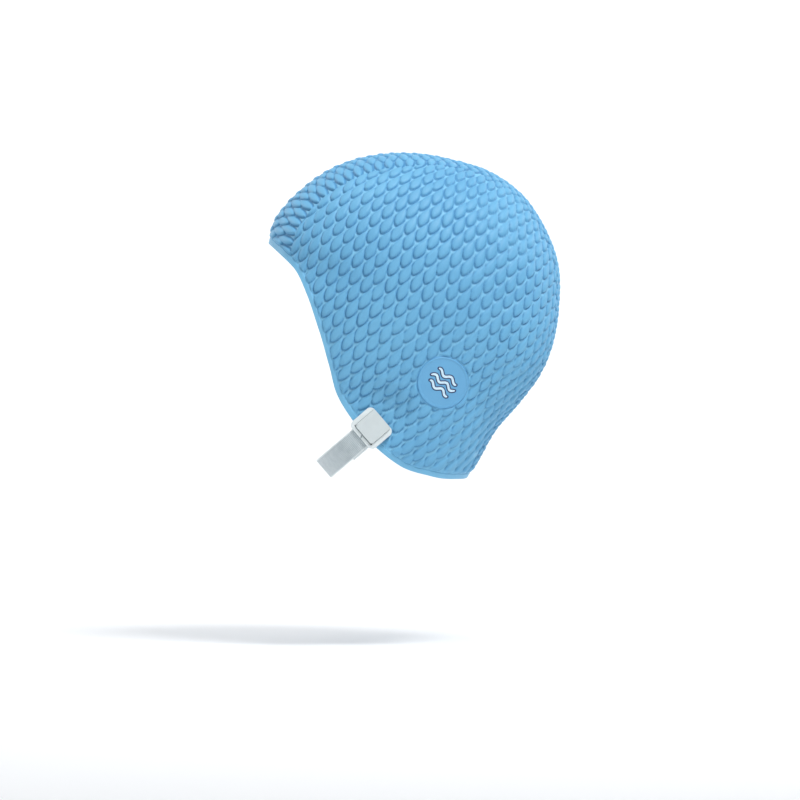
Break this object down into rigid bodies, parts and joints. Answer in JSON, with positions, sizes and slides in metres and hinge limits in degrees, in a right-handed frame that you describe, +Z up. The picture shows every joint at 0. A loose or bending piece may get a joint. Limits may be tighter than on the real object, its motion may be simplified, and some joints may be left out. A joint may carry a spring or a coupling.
{
  "type": "swim cap with chin strap",
  "caption": "Moulded latex cap with rows of small scale-shaped bubbles, a smooth edge and badge, and an elastic chin strap on two clips with hinged covers.",
  "frame": {"origin": "middle of the head opening in the symmetry plane, halfway between the brow edge and the nape edge", "axes": "+Z up, the wearer faces -Y, +X is the wearer's left, the side with the badge"},
  "size_m": [0.156, 0.2, 0.224],
  "materials": {
    "latex": "satin moulded latex with bubbles",
    "latex_band": "smooth satin latex",
    "latex_badge": "smooth satin latex",
    "ink_dark": "printed rubber ink, satin",
    "ink_light": "printed rubber ink, satin",
    "elastic": "ribbed woven elastic",
    "white_plastic": "moulded, semi-gloss",
    "cover_plastic": "moulded, semi-gloss",
    "steel": "drawn wire, satin"
  },
  "bodies": {
    "cap": {"cap_shell": "latex", "rim_band": "latex_band", "badge_disc": "latex_badge", "badge_outline": "ink_dark", "badge_waves": "ink_light", "left_stud": "white_plastic", "right_stud": "white_plastic", "left_washer": "white_plastic", "right_washer": "white_plastic"},
    "strap": {"chin_strap": "elastic", "left_clip_frame": "white_plastic", "right_clip_frame": "white_plastic", "left_cover_pin": "steel", "right_cover_pin": "steel", "left_strap_bar": "steel", "right_strap_bar": "steel"},
    "left_cover": {"left_clip_cover": "cover_plastic"},
    "right_cover": {"right_clip_cover": "cover_plastic"}
  },
  "joints": [
    {"name": "strap_swing", "type": "hinge", "parent": "cap", "child": "strap", "pos_m": [0, 0.004, -0.045], "axis": [1, 0, 0], "range_deg": [-40, 35]},
    {"name": "left_cover_hinge", "type": "hinge", "parent": "strap", "child": "left_cover", "pos_m": [0.0723, 0.00848, -0.04116], "axis": [0, -0.6508, 0.7593], "range_deg": [0, 110]},
    {"name": "right_cover_hinge", "type": "hinge", "parent": "strap", "child": "right_cover", "pos_m": [-0.0723, 0.00848, -0.04116], "axis": [0, 0.6508, -0.7593], "range_deg": [0, 110]}
  ]
}
